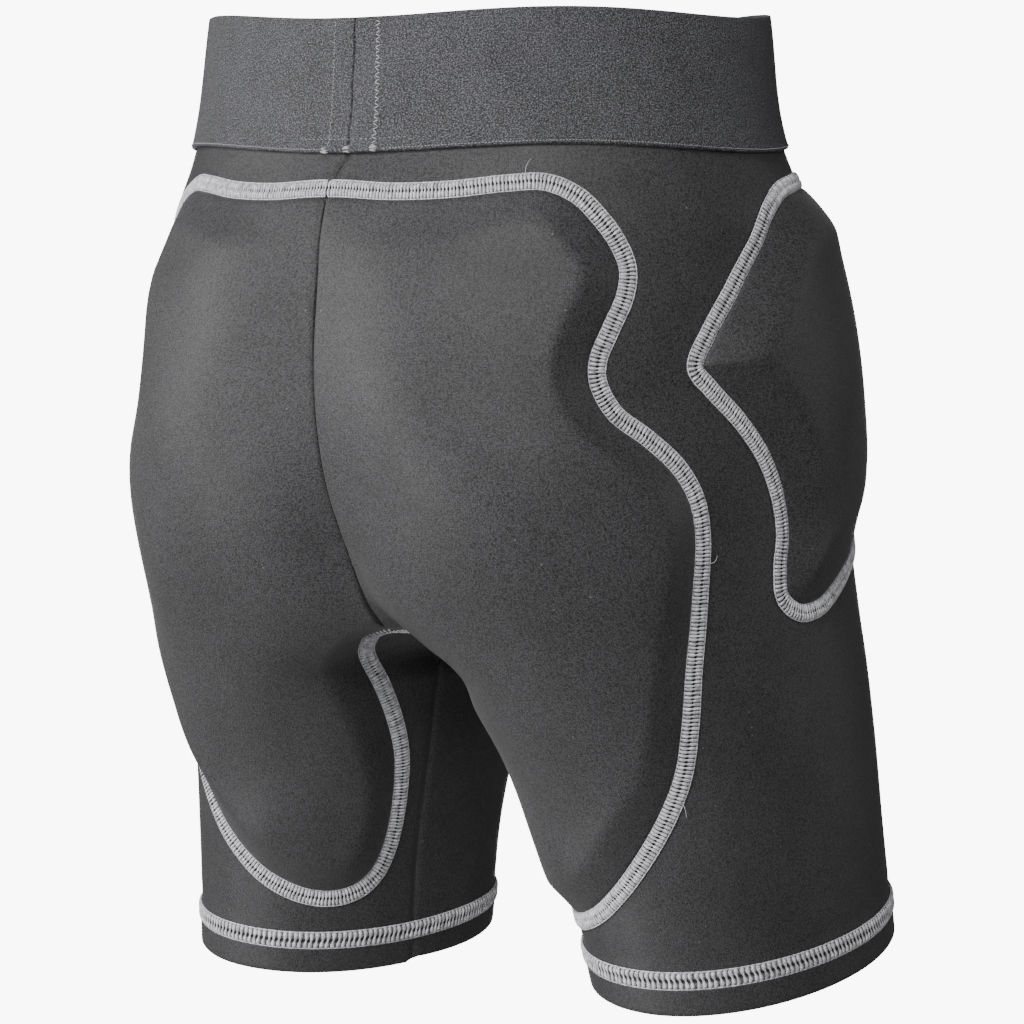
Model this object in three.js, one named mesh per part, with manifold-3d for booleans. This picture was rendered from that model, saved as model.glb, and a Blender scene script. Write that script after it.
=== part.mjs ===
// Padded compression shorts: a stretch shell in two halves, an elastic waistband,
// a seat-and-thigh pad and a hip pad on each side, and the raised coverstitching
// that frames the pads and closes the hems. Millimetres, +Z up, the wearer's
// front on -Y and the wearer's left on +X. The origin is the centre of the
// waist opening, level with the top edge of the waistband.
import * as THREE from 'three';
import Module from 'manifold-3d';

const wasm = await Module();
wasm.setup();

// Overall sizes.
const SHELL_LENGTH = 310;
const HALF_HIP = 140;
const HALF_DEPTH = 104;

// Waistband.
const BAND_HEIGHT = 50;
const BAND_WALL = 1.8;
const BAND_EDGE = 0.6;
const WAIST_DIP = 3.2;

// Fabric.
const SHELL_WALL = 1.2;
const HEM_WALL = 2.4;
const HEM_HEIGHT = 13;
const TUCK = 10;
const SEAM_GAP = 0.3;
const PIECE_GAP = 0.3;

// Pads.
const PAD_CLEARANCE = 0.4;
const PAD_RIM = 1.0;
const REAR_PAD_THICKNESS = 10;
const REAR_PAD_RAMP = 14;
const HIP_PAD_THICKNESS = 10.5;
const HIP_PAD_RAMP = 19;
const VALLEY_WIDTH = 30;
const VALLEY_SHARE = 0.28;
const PAD_ROOT = 25;

// Coverstitching.
const STITCH_WIDTH = 6.4;
const STITCH_HEIGHT = 1.1;
const STITCH_CLEARANCE = 0.6;

// Mesh fineness.
const SHELL_COLUMNS = 36;
const REAR_STEPS = 72;
const HIP_STEPS = 36;
const CURVE_DIVISIONS = 800;

// Small moves over the shell, in degrees and in down, that measure its slope.
const TURN_STEP = 0.5;
const DOWN_STEP = 0.0015;

// One half of the shorts as a tube of rounded sections, top to hem. Every down
// in this file is a share of SHELL_LENGTH below the waistband's lower edge.
// x, outer, inner: section centre and reach to the outer and inner side, shares
// of HALF_HIP. y, back, front: the same front to back, shares of HALF_DEPTH.
// square: how boxy the inner half is. tiltBack, tiltOut: how far the section
// plane drops to the back and lifts to the outer side, per mm.
const WAIST_EDGE = -BAND_HEIGHT / SHELL_LENGTH;
const SECTION_COLUMNS = [
  'down', 'x', 'outer', 'inner', 'y', 'back', 'front', 'square', 'tiltBack', 'tiltOut',
];
const SECTIONS = [
  [WAIST_EDGE, 0.0, 0.83, -0.83, 0.02, 0.835, -0.77, 2.0, 0.0, 0.0],
  [0.0, 0.0, 0.89, -0.89, 0.02, 0.885, -0.81, 2.0, 0.0, 0.0],
  [0.03, 0.0, 0.905, -0.905, 0.01, 0.905, -0.845, 2.0, 0.0, 0.0],
  [0.06, 0.02, 0.92, -0.89, 0.0, 0.925, -0.875, 2.0, 0.0, 0.0],
  [0.16, 0.115, 0.95, -0.8, -0.04, 0.97, -0.95, 2.1, 0.0, 0.0],
  [0.26, 0.215, 0.965, -0.63, -0.075, 1.0, -0.99, 2.2, 0.01, 0.0],
  [0.37, 0.315, 0.98, -0.4, -0.105, 0.99, -1.0, 2.4, 0.03, 0.01],
  [0.485, 0.395, 0.985, -0.165, -0.135, 0.895, -0.99, 2.7, 0.06, 0.02],
  [0.575, 0.455, 1.0, -0.035, -0.165, 0.75, -0.98, 2.9, 0.08, 0.03],
  [0.645, 0.515, 1.015, 0.055, -0.19, 0.625, -0.97, 2.7, 0.1, 0.035],
  [0.74, 0.585, 1.035, 0.195, -0.23, 0.48, -0.94, 2.4, 0.12, 0.035],
  [0.855, 0.645, 1.055, 0.28, -0.28, 0.395, -0.905, 2.2, 0.145, 0.03],
  [1.0, 0.7, 1.07, 0.33, -0.315, 0.325, -0.93, 2.1, 0.17, 0.02],
];

// The waist edge dips at the back, front and sides down to this far below it.
const DIP_END = 0.145;

// How the two legs hang as worn: the left one a little lower than the right.
const LEG_DROP = 2.5;
const LEG_LIFT = 2;
const LEG_LEAN_OUT = 0.07;
const LEG_LEAN_BACK = 0.055;
const LEG_LEAN_START = 0.61;
const LEG_LEAN_END = 0.97;

// Stitch lines round the pads: [angle, down]. The angle runs from the outer side
// at 0 degrees over the back at 90 to the inner side at 180. The rear line is
// open at the centre seam and runs a little past it.
const REAR_LINE = [
  [98, 0.045], [88, 0.045], [78, 0.05], [67, 0.05], [57, 0.045], [50, 0.045],
  [45, 0.06], [41.5, 0.085], [38.5, 0.115], [37, 0.145], [38, 0.175], [41.5, 0.215],
  [44.5, 0.25], [45, 0.275], [42.5, 0.31], [36.5, 0.34], [31, 0.375], [28, 0.415],
  [28, 0.46], [31, 0.515], [35, 0.565], [40, 0.615], [46, 0.67], [53, 0.72],
  [62, 0.765], [73, 0.805], [86, 0.845], [99, 0.875], [112, 0.895], [123, 0.905],
  [130, 0.91], [138, 0.9], [145, 0.885], [149.5, 0.86], [152, 0.83], [152, 0.79],
  [150.5, 0.75], [147, 0.705], [142, 0.66], [138, 0.615], [135.5, 0.585],
  [136.5, 0.57], [141, 0.567], [148, 0.567], [156, 0.567],
];
// The rear pad's outline past the centre seam, where the seam cuts it off.
const REAR_OVERRUN = [
  [156, 0.535], [147, 0.49], [138, 0.43], [129, 0.375], [120, 0.305], [113, 0.235],
  [107, 0.165], [103, 0.095],
];
const HIP_LINE = [
  [-15, 0.04], [-30, 0.04], [-42, 0.05], [-49, 0.08], [-53, 0.12], [-60, 0.175],
  [-67, 0.22], [-69, 0.25], [-67, 0.27], [-60, 0.31], [-53, 0.355], [-49, 0.405],
  [-47.5, 0.44], [-45, 0.47], [-38, 0.495], [-26, 0.515], [-13, 0.54], [-2, 0.56],
  [6, 0.56], [10, 0.54], [9.5, 0.505], [7.5, 0.465], [8, 0.42], [11, 0.37],
  [16, 0.325], [22, 0.285], [25, 0.26], [21.5, 0.22], [15, 0.17], [8, 0.115],
  [3, 0.075], [-4, 0.05],
];
const REAR_CENTRE = [82, 0.44];
const HIP_CENTRE = [-20, 0.26];
const DEGREE_LENGTH = 1.7;

// Pad thickness down the body: [down, share of the pad thickness].
const REAR_FULLNESS = [[0.04, 1.0], [0.3, 1.0], [0.49, 0.85], [0.95, 0.8]];
const HIP_FULLNESS = [[0.03, 1.0], [0.28, 1.0], [0.37, 0.82], [0.45, 0.6], [0.57, 0.5]];

// Steps from a pad's edge to its middle, as shares of that way.
const REAR_RINGS = [0, 0.05, 0.12, 0.22, 0.42, 0.7];
const HIP_RINGS = [0, 0.09, 0.2, 0.38, 0.65];

const SHELL_ROWS = [
  0.06, 0.15, 0.24, 0.33, 0.41, 0.48, 0.535, 0.58, 0.625, 0.67, 0.715, 0.765, 0.82, 0.885,
];

const FABRIC_COLOUR = 0x3c3c3e;
const PAD_COLOUR = 0x454547;
const BAND_COLOUR = 0x4d4d52;
const THREAD_COLOUR = 0xa9a9b0;

const clamp01 = (value) => Math.min(1, Math.max(0, value));
const smooth = (t) => t * t * (3 - 2 * t);
const radians = THREE.MathUtils.degToRad;

// A smooth curve through a table's rows, read for one column.
function columnCurve(rows, column) {
  const xs = rows.map((row) => row[0]);
  const ys = rows.map((row) => row[column]);
  const last = xs.length - 1;
  const slope = (i) => (ys[i + 1] - ys[i]) / (xs[i + 1] - xs[i]);
  const tangents = xs.map((x, i) => {
    if (i === 0) return slope(0);
    if (i === last) return slope(last - 1);
    const before = x - xs[i - 1];
    const after = xs[i + 1] - x;
    return (after * slope(i - 1) + before * slope(i)) / (before + after);
  });
  return (value) => {
    const x = Math.min(xs[last], Math.max(xs[0], value));
    let k = 0;
    while (k < last - 1 && x > xs[k + 1]) k += 1;
    const h = xs[k + 1] - xs[k];
    const t = (x - xs[k]) / h;
    const s = 1 - t;
    return ys[k] * (1 + 2 * t) * s * s + tangents[k] * h * t * s * s
      + ys[k + 1] * t * t * (3 - 2 * t) - tangents[k + 1] * h * t * t * s;
  };
}

const sectionCurves = Object.fromEntries(
  SECTION_COLUMNS.slice(1).map((name, i) => [name, columnCurve(SECTIONS, i + 1)]),
);
const rearFullness = columnCurve(REAR_FULLNESS, 1);
const hipFullness = columnCurve(HIP_FULLNESS, 1);

// A point of the shell's outer face. side is +1 for the wearer's left, -1 for the right.
function facePoint(angle, down, side) {
  const at = (name) => sectionCurves[name](down);
  const centreX = at('x') * HALF_HIP;
  const centreY = at('y') * HALF_DEPTH;
  const c = Math.cos(radians(angle));
  const s = Math.sin(radians(angle));
  const power = c < 0 ? at('square') : 2;
  const reach = (Math.abs(c) ** power + Math.abs(s) ** power) ** (-1 / power);
  const halfX = c > 0 ? at('outer') * HALF_HIP - centreX : centreX - at('inner') * HALF_HIP;
  const halfY = s > 0 ? at('back') * HALF_DEPTH - centreY : centreY - at('front') * HALF_DEPTH;
  const fromX = halfX * reach * c;
  const fromY = halfY * reach * s;
  const dipFade = clamp01((DIP_END - down) / DIP_END);
  const dip = WAIST_DIP * dipFade * (1 - Math.cos(4 * radians(angle - 45))) / 2;
  const lean = smooth(clamp01((down - LEG_LEAN_START) / (LEG_LEAN_END - LEG_LEAN_START)));
  const hang = LEG_LIFT + side * (LEG_LEAN_OUT * fromX + LEG_LEAN_BACK * fromY - LEG_DROP);
  const z = -BAND_HEIGHT - down * SHELL_LENGTH - at('tiltBack') * fromY + at('tiltOut') * fromX - dip
    + lean * hang;
  return new THREE.Vector3(side * (centreX + fromX), centreY + fromY, z);
}

// The shell's outward direction at a point.
function faceNormal(angle, down, side) {
  const across = facePoint(angle + TURN_STEP, down, side)
    .sub(facePoint(angle - TURN_STEP, down, side));
  const along = facePoint(angle, down + DOWN_STEP, side)
    .sub(facePoint(angle, down - DOWN_STEP, side));
  return across.cross(along).multiplyScalar(-side).normalize();
}

function lifted(angle, down, side, height) {
  return facePoint(angle, down, side).addScaledVector(faceNormal(angle, down, side), height);
}

// A smooth line through [angle, down] points, evenly stepped.
function smoothLine(points, steps, closed) {
  const knots = points.map(([angle, down]) => (
    new THREE.Vector3(angle * DEGREE_LENGTH, down * SHELL_LENGTH, 0)));
  const curve = new THREE.CatmullRomCurve3(knots, closed, 'centripetal');
  curve.arcLengthDivisions = CURVE_DIVISIONS;
  const spaced = curve.getSpacedPoints(steps);
  const line = spaced.map((p) => [p.x / DEGREE_LENGTH, p.y / SHELL_LENGTH]);
  return closed ? line.slice(0, -1) : line;
}

// Moves a line sideways over the shell by a real distance, towards the area it encloses.
function shiftLine(line, distance, side, closed) {
  const count = line.length;
  return line.map(([angle, down], i) => {
    const before = line[closed ? (i + count - 1) % count : Math.max(0, i - 1)];
    const after = line[closed ? (i + 1) % count : Math.min(count - 1, i + 1)];
    const along = facePoint(after[0], after[1], side)
      .sub(facePoint(before[0], before[1], side)).normalize();
    const inward = along.clone().cross(faceNormal(angle, down, side)).multiplyScalar(-side);
    const here = facePoint(angle, down, side);
    const turn = facePoint(angle + TURN_STEP, down, side).sub(here);
    const drop = facePoint(angle, down + DOWN_STEP, side).sub(here);
    const tt = turn.dot(turn);
    const td = turn.dot(drop);
    const dd = drop.dot(drop);
    const ot = inward.dot(turn) * distance;
    const od = inward.dot(drop) * distance;
    const scale = tt * dd - td * td;
    return [
      angle + (TURN_STEP * (ot * dd - od * td)) / scale,
      down + (DOWN_STEP * (od * tt - ot * td)) / scale,
    ];
  });
}

function segmentDistance(point, from, to) {
  const line = new THREE.Line3(from, to);
  return line.closestPointToPoint(point, true, new THREE.Vector3()).distanceTo(point);
}

// Solids from rows of points.
function solid(points, faces) {
  const vertProperties = new Float32Array(points.flatMap((p) => [p.x, p.y, p.z]));
  let volume = 0;
  faces.forEach(([a, b, c]) => {
    volume += points[a].dot(points[b].clone().cross(points[c]));
  });
  const outward = volume > 0 ? faces : faces.map(([a, b, c]) => [a, c, b]);
  const triVerts = new Uint32Array(outward.flat());
  return new wasm.Manifold(new wasm.Mesh({ numProp: 3, vertProperties, triVerts }));
}

function quadFaces(columns, row, next) {
  const faces = [];
  for (let j = 0; j < columns; j += 1) {
    const k = (j + 1) % columns;
    const [a, b, c, d] = [row * columns + j, row * columns + k, next * columns + k,
      next * columns + j];
    faces.push([a, b, c], [a, c, d]);
  }
  return faces;
}

// A closed ring swept round: every loop joins the next and the last joins the first.
function ringSolid(loops) {
  const columns = loops[0].length;
  const faces = loops.flatMap((loop, i) => (
    quadFaces(columns, i, (i + 1) % loops.length)));
  return solid(loops.flat(), faces);
}

// Loops stacked from one end to the other, each end closed to a middle point.
function capsuleSolid(loops, firstMiddle, lastMiddle) {
  const columns = loops[0].length;
  const points = [...loops.flat(), firstMiddle, lastMiddle];
  const first = points.length - 2;
  const last = points.length - 1;
  const faces = [];
  for (let i = 0; i + 1 < loops.length; i += 1) {
    faces.push(...quadFaces(columns, i, i + 1));
  }
  const base = (loops.length - 1) * columns;
  for (let j = 0; j < columns; j += 1) {
    const k = (j + 1) % columns;
    faces.push([first, k, j], [last, base + j, base + k]);
  }
  return solid(points, faces);
}

function middle(points) {
  return points.reduce((sum, p) => sum.add(p), new THREE.Vector3())
    .divideScalar(points.length);
}

// A block reaching from the centre plane out to one side, to cut a piece at the seam.
function sideBlock(side, gap) {
  const reach = 2 * (SHELL_LENGTH + BAND_HEIGHT);
  const corners = [gap * side, reach * side].map((x) => (
    [[-reach, -reach], [reach, -reach], [reach, reach], [-reach, reach]]
      .map(([y, z]) => new THREE.Vector3(x, y, z))));
  return capsuleSolid(corners, middle(corners[0]), middle(corners[1]));
}

function loopAt(down, side, columns, height) {
  return Array.from({ length: columns }, (_, j) => (
    lifted((360 * j) / columns, down, side, height)));
}

const shellDowns = [-TUCK / SHELL_LENGTH, 0, ...SHELL_ROWS];
const hemFold = 1 - HEM_HEIGHT / SHELL_LENGTH;

function shellLoops(downs, side, height) {
  return downs.map((down) => loopAt(down, side, SHELL_COLUMNS, height));
}

function buildShell(side) {
  const foldStart = hemFold - (HEM_WALL - SHELL_WALL) / SHELL_LENGTH;
  const body = ringSolid([
    ...shellLoops([...shellDowns, hemFold, 1], side, 0),
    ...shellLoops([1, hemFold], side, -HEM_WALL),
    ...shellLoops([foldStart, ...shellDowns.slice().reverse()], side, -SHELL_WALL),
  ]);
  return body.intersect(sideBlock(side, SEAM_GAP / 2));
}

// The room inside a pad's clearance, which every pad is cut back to.
function buildCore(side) {
  const loops = shellLoops([...shellDowns, hemFold, 1], side, PAD_CLEARANCE);
  return capsuleSolid(loops, middle(loops[0]), middle(loops.at(-1)));
}

function buildBand() {
  const edge = BAND_EDGE / SHELL_LENGTH;
  const outside = PIECE_GAP + BAND_WALL;
  const profile = [
    [WAIST_EDGE, PIECE_GAP], [0, PIECE_GAP], [0, outside - BAND_EDGE], [-edge, outside],
    [WAIST_EDGE + edge, outside], [WAIST_EDGE, outside - BAND_EDGE],
  ];
  return ringSolid(profile.map(([down, height]) => loopAt(down, 1, SHELL_COLUMNS * 2, height)));
}

// A pad: flat rim at its outline, rising over the ramp to its full thickness.
function buildPad(side, outline, form) {
  const edge = outline.map(([angle, down]) => facePoint(angle, down, side));
  const edgeDistance = (point) => Math.min(
    ...edge.map((p, i) => segmentDistance(point, p, edge[(i + 1) % edge.length])),
  );
  const valleyAt = (point) => VALLEY_SHARE
    + (1 - VALLEY_SHARE) * smooth(clamp01(Math.abs(point.x) / VALLEY_WIDTH));
  const topPoint = ([angle, down]) => {
    const point = facePoint(angle, down, side);
    const rise = smooth(clamp01(edgeDistance(point) / form.ramp));
    const valley = form.valley ? valleyAt(point) : 1;
    const height = PAD_RIM + (form.thickness * form.fullness(down) - PAD_RIM) * rise * valley;
    return lifted(angle, down, side, PAD_CLEARANCE + height);
  };
  const root = outline.map(([angle, down]) => lifted(angle, down, side, -PAD_RIM));
  const tops = form.rings.map((share) => outline.map(([angle, down]) => topPoint([
    angle + (form.centre[0] - angle) * share, down + (form.centre[1] - down) * share,
  ])));
  const body = capsuleSolid(
    [root, ...tops],
    lifted(form.centre[0], form.centre[1], side, -PAD_ROOT),
    topPoint(form.centre),
  );
  return body.subtract(buildCore(side));
}

// The four corners of the stitch band at each step along its line.
function stitchSections(line, side, closed) {
  const edges = [-STITCH_WIDTH / 2, STITCH_WIDTH / 2].map((distance) => (
    shiftLine(line, distance, side, closed)));
  const low = STITCH_CLEARANCE;
  const high = STITCH_CLEARANCE + STITCH_HEIGHT;
  return line.map((_, i) => [
    lifted(...edges[0][i], side, low),
    lifted(...edges[0][i], side, high),
    lifted(...edges[1][i], side, high),
    lifted(...edges[1][i], side, low),
  ]);
}

function buildRear(side) {
  const block = sideBlock(side, SEAM_GAP);
  const line = smoothLine(REAR_LINE, REAR_STEPS, false);
  const sections = stitchSections(line, side, false);
  const stitching = capsuleSolid(sections, middle(sections[0]), middle(sections.at(-1)))
    .intersect(block);
  const outline = shiftLine(
    [...line, ...REAR_OVERRUN], STITCH_WIDTH / 2 + PIECE_GAP, side, true,
  );
  const pad = buildPad(side, outline, {
    centre: REAR_CENTRE,
    rings: REAR_RINGS,
    thickness: REAR_PAD_THICKNESS,
    ramp: REAR_PAD_RAMP,
    fullness: rearFullness,
    valley: true,
  }).intersect(block);
  return { pad, stitching };
}

function buildHip(side) {
  const line = smoothLine(HIP_LINE, HIP_STEPS, true);
  const stitching = ringSolid(stitchSections(line, side, true));
  const outline = shiftLine(line, STITCH_WIDTH / 2 + PIECE_GAP, side, true);
  const pad = buildPad(side, outline, {
    centre: HIP_CENTRE,
    rings: HIP_RINGS,
    thickness: HIP_PAD_THICKNESS,
    ramp: HIP_PAD_RAMP,
    fullness: hipFullness,
    valley: false,
  });
  return { pad, stitching };
}

function buildHemStitching(side) {
  const line = Array.from({ length: SHELL_COLUMNS }, (_, j) => (
    [(360 * j) / SHELL_COLUMNS, hemFold]));
  return ringSolid(stitchSections(line, side, true));
}

function toMesh(name, body, colour, roughness) {
  const { vertProperties, triVerts, numProp } = body.getMesh();
  const geometry = new THREE.BufferGeometry();
  const positions = new THREE.InterleavedBuffer(vertProperties, numProp);
  geometry.setAttribute('position', new THREE.InterleavedBufferAttribute(positions, 3, 0));
  geometry.setIndex(new THREE.BufferAttribute(triVerts, 1));
  geometry.computeVertexNormals();
  const material = new THREE.MeshStandardMaterial({ color: colour, roughness, metalness: 0 });
  material.name = `${name} fabric`;
  const mesh = new THREE.Mesh(geometry, material);
  mesh.name = name;
  return mesh;
}

const shorts = new THREE.Group();
shorts.name = 'padded_shorts';
shorts.add(toMesh('waistband', buildBand(), BAND_COLOUR, 0.85));
for (const [word, side] of [['left', 1], ['right', -1]]) {
  const rear = buildRear(side);
  const hip = buildHip(side);
  shorts.add(toMesh(`shell_${word}`, buildShell(side), FABRIC_COLOUR, 0.9));
  shorts.add(toMesh(`rear_pad_${word}`, rear.pad, PAD_COLOUR, 0.9));
  shorts.add(toMesh(`hip_pad_${word}`, hip.pad, PAD_COLOUR, 0.9));
  shorts.add(toMesh(`rear_stitching_${word}`, rear.stitching, THREAD_COLOUR, 0.7));
  shorts.add(toMesh(`hip_stitching_${word}`, hip.stitching, THREAD_COLOUR, 0.7));
  shorts.add(toMesh(`hem_stitching_${word}`, buildHemStitching(side), THREAD_COLOUR, 0.7));
}

export default shorts;
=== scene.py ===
"""Padded compression shorts: stretch shell, waistband, foam pads and raised coverstitching.

Metres, +Z up, the wearer's front on -Y and the wearer's left on +X. The origin is the centre
of the waist opening, level with the waistband's top edge.
"""
import math

import bmesh
import bpy
import numpy as np
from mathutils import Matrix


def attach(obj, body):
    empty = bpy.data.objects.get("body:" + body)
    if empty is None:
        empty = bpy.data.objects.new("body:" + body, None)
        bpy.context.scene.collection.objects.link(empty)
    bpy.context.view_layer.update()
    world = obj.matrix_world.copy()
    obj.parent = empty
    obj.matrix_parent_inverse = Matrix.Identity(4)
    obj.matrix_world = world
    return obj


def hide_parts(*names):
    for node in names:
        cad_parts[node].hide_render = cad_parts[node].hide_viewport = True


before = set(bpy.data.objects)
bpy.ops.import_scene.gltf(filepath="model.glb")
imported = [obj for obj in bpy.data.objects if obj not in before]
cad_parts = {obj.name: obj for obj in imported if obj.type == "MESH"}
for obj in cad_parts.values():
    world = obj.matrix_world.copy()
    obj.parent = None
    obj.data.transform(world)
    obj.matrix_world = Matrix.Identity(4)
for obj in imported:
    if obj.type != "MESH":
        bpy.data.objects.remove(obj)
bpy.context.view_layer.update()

MM = 0.001
SIDES = (("left", 1), ("right", -1))

# Sizes of the shorts, as in the part's source but for the hem, which hangs lower on the left.
SHELL_LENGTH = 310 * MM
HALF_HIP = 140 * MM
HALF_DEPTH = 104 * MM
BAND_HEIGHT = 50 * MM
BAND_WALL = 1.8 * MM
WAIST_DIP = 3.2 * MM
SHELL_WALL = 1.2 * MM
HEM_WALL = 2.4 * MM
HEM_HEIGHT = 13 * MM
TUCK = 10 * MM
PIECE_GAP = 0.3 * MM
DIP_END = 0.145
HEM_DROP = {1: 2.7 * MM, -1: 0.0}
LEG_DROP = 2.5 * MM
LEG_LIFT = 2.0 * MM
LEG_LEAN_OUT = 0.07
LEG_LEAN_BACK = 0.055
LEG_LEAN_START = 0.61
LEG_LEAN_END = 0.97
HEM_FOLD = 1 - HEM_HEIGHT / SHELL_LENGTH
WAIST_EDGE = -BAND_HEIGHT / SHELL_LENGTH

# Where the body draws the cloth in or fills it: angle, down, and how far round and down each
# fades. Then how strongly, at the crotch for the wearer's left (1) and right (-1).
PINCH_AT = (40, 0.315, 15, 0.045)
SWELL_AT = (38, 0.19, 16, 0.045)
CROTCH_AT = (136, 0.562, 20, 0.038)
SIDE_PINCH = 0.024
SIDE_SWELL = 0.012
CROTCH_TURN = {1: 0.02, -1: 0.14}

# Seams: how far the halves' columns start from the centre plane, how close their edges then
# come, how far the back seam runs to the wearer's right under the waistband, and its groove.
SEAM_START = 0.12 * MM
SEAM_TOUCH = 0.01 * MM
SEAM_SHIFT = 7.5 * MM
GROOVE_DEPTH = 0.6 * MM
GROOVE_WIDTH = 0.9 * MM
INSEAM_TURN = 18
INSEAM_GAP = 0.12
SHELL_COLUMNS = 150

# Pads and stitching.
PAD_CLEARANCE = 0.15 * MM
PAD_STEP = 2.1 * MM
PAD_FLAT = 0.8 * MM
PAD_SEAM_GAP = 0.25 * MM
CROTCH_CUT = 6 * MM
PAD_RIM = 1.1 * MM
REAR_PAD_THICKNESS = 10 * MM
REAR_PAD_RAMP = 11.8 * MM
HIP_PAD_THICKNESS = 10.5 * MM
HIP_PAD_RAMP = 16 * MM
VALLEY_WIDTH = 55 * MM
VALLEY_SHARE = 0.34
CORNER_AT = (136, 0.578, 19, 0.05)
CORNER_FLATTER = {1: 0.0, -1: 0.8}
CREASE_DEPTH = {1: 0.4 * MM, -1: 1.3 * MM}
STITCH_WIDTH = 6.4 * MM
PAD_STITCH = {"pitch": 1.4 * MM, "slant": 0.0, "bend": 0.1, "hole": 0.17, "gap": 0.26}
HEM_STITCH = {"pitch": 2.1 * MM, "slant": 0.12, "bend": 0.14, "hole": 0.34, "gap": 0.27}
TUBE_SIDES = 5

# Threads on the band: rows beside its joint (place, width, tone) and the bar tacks' places.
# Then the loose thread ends of the right rear pad (share along its line, lean, length).
BAND_ROWS = ((-8.6 * MM, 0.7 * MM, 1), (10.4 * MM, 1.9 * MM, 2))
BAND_TACKS = (10.2 * MM, -10.2 * MM, -0.8 * MM)
LOOSE_ENDS = ((0.13, 0.4, 6 * MM), (0.56, 1.2, 3.5 * MM), (0.42, -1.0, 3 * MM))

# Real length of one degree round the band and round a leg, for the weave's scale, and the
# angle of the band's joint.
BAND_DEGREE = 2.0 * MM
FACE_DEGREE = 1.9 * MM
BAND_JOINT_ANGLE = 93.2

# One half of the shorts as a tube of rounded sections: down is a share of SHELL_LENGTH below
# the waistband, x columns are shares of HALF_HIP, y columns of HALF_DEPTH.
SECTION_COLUMNS = (
    "down", "x", "outer", "inner", "y", "back", "front", "square", "tilt_back", "tilt_out")
SECTIONS = (
    (WAIST_EDGE, 0.0, 0.83, -0.83, 0.02, 0.835, -0.77, 2.0, 0.0, 0.0),
    (0.0, 0.0, 0.89, -0.89, 0.02, 0.885, -0.81, 2.0, 0.0, 0.0),
    (0.03, 0.0, 0.912, -0.912, 0.01, 0.912, -0.845, 2.0, 0.0, 0.0),
    (0.06, 0.02, 0.938, -0.89, 0.0, 0.938, -0.875, 2.0, 0.0, 0.0),
    (0.16, 0.115, 0.95, -0.8, -0.04, 0.97, -0.95, 2.1, 0.0, 0.0),
    (0.26, 0.215, 0.965, -0.63, -0.075, 1.0, -0.99, 2.2, 0.01, 0.0),
    (0.37, 0.315, 0.98, -0.4, -0.105, 0.99, -1.0, 2.4, 0.03, 0.01),
    (0.485, 0.395, 0.985, -0.19, -0.135, 0.895, -0.99, 2.4, 0.06, 0.02),
    (0.54, 0.43, 0.993, -0.145, -0.153, 0.811, -0.984, 2.2, 0.072, 0.026),
    (0.56, 0.444, 0.997, -0.1, -0.16, 0.776, -0.982, 2.1, 0.076, 0.029),
    (0.575, 0.455, 1.0, -0.01, -0.165, 0.75, -0.98, 2.05, 0.08, 0.03),
    (0.59, 0.467, 1.003, 0.06, -0.17, 0.724, -0.978, 2.0, 0.084, 0.031),
    (0.645, 0.515, 1.015, 0.122, -0.19, 0.625, -0.97, 2.0, 0.1, 0.035),
    (0.74, 0.585, 1.035, 0.2, -0.23, 0.48, -0.94, 2.1, 0.12, 0.035),
    (0.855, 0.645, 1.055, 0.28, -0.28, 0.395, -0.905, 2.2, 0.145, 0.03),
    (1.0, 0.7, 1.07, 0.33, -0.315, 0.325, -0.93, 2.1, 0.17, 0.02),
)

# Stitch lines round the pads, (angle, down): 0 degrees outer side, 90 back, 180 inner side.
REAR_LINE = (
    (98, 0.045), (88, 0.045), (78, 0.05), (67, 0.05), (57, 0.045), (50, 0.045), (45, 0.06),
    (41.5, 0.085), (38.5, 0.115), (37, 0.145), (38, 0.175), (41.5, 0.215), (44.5, 0.25),
    (45, 0.275), (42.5, 0.31), (36.5, 0.34), (31, 0.375), (28, 0.415), (28, 0.46), (31, 0.515),
    (35, 0.565), (40, 0.615), (46, 0.67), (53, 0.722), (62, 0.768), (73, 0.812), (86, 0.853),
    (99, 0.882), (112, 0.901), (123, 0.91), (131, 0.911), (137, 0.907), (142, 0.899),
    (146.5, 0.883), (149.7, 0.859), (151.4, 0.831), (152, 0.79), (151.2, 0.742), (149.3, 0.708),
    (146.2, 0.672), (142.8, 0.642), (139.6, 0.613), (136.2, 0.588), (134.5, 0.573), (137, 0.5665),
    (143, 0.569), (151, 0.5725), (160, 0.5735), (172, 0.574),
)
HIP_LINE = (
    (-15, 0.04), (-30, 0.04), (-42, 0.05), (-49, 0.08), (-53, 0.12), (-60, 0.175), (-67, 0.22),
    (-69, 0.25), (-67, 0.27), (-60, 0.31), (-53, 0.355), (-49, 0.405), (-47.5, 0.44),
    (-45, 0.47), (-38, 0.495), (-26, 0.515), (-13, 0.54), (-2, 0.56), (6, 0.56), (10, 0.54),
    (9.5, 0.505), (7.5, 0.465), (8, 0.42), (11, 0.37), (16, 0.325), (22, 0.285), (25, 0.26),
    (21.5, 0.22), (15, 0.17), (8, 0.115), (3, 0.075), (-4, 0.05),
)

# The point that each pad's rings close on, and the length of a degree along a stitch line.
REAR_CENTRE = (82, 0.44)
HIP_CENTRE = (-20, 0.26)
DEGREE_LENGTH = 1.7 * MM

# How full the foam is at each down, as a share of the pad's thickness.
REAR_FULLNESS = ((0.04, 0.38), (0.1, 0.6), (0.17, 0.88), (0.26, 1.0), (0.36, 1.0), (0.49, 0.85),
                 (0.95, 0.8))
HIP_FULLNESS = ((0.03, 0.8), (0.1, 0.84), (0.16, 0.98), (0.28, 1.0), (0.37, 0.82), (0.45, 0.6),
                (0.57, 0.5))

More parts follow.
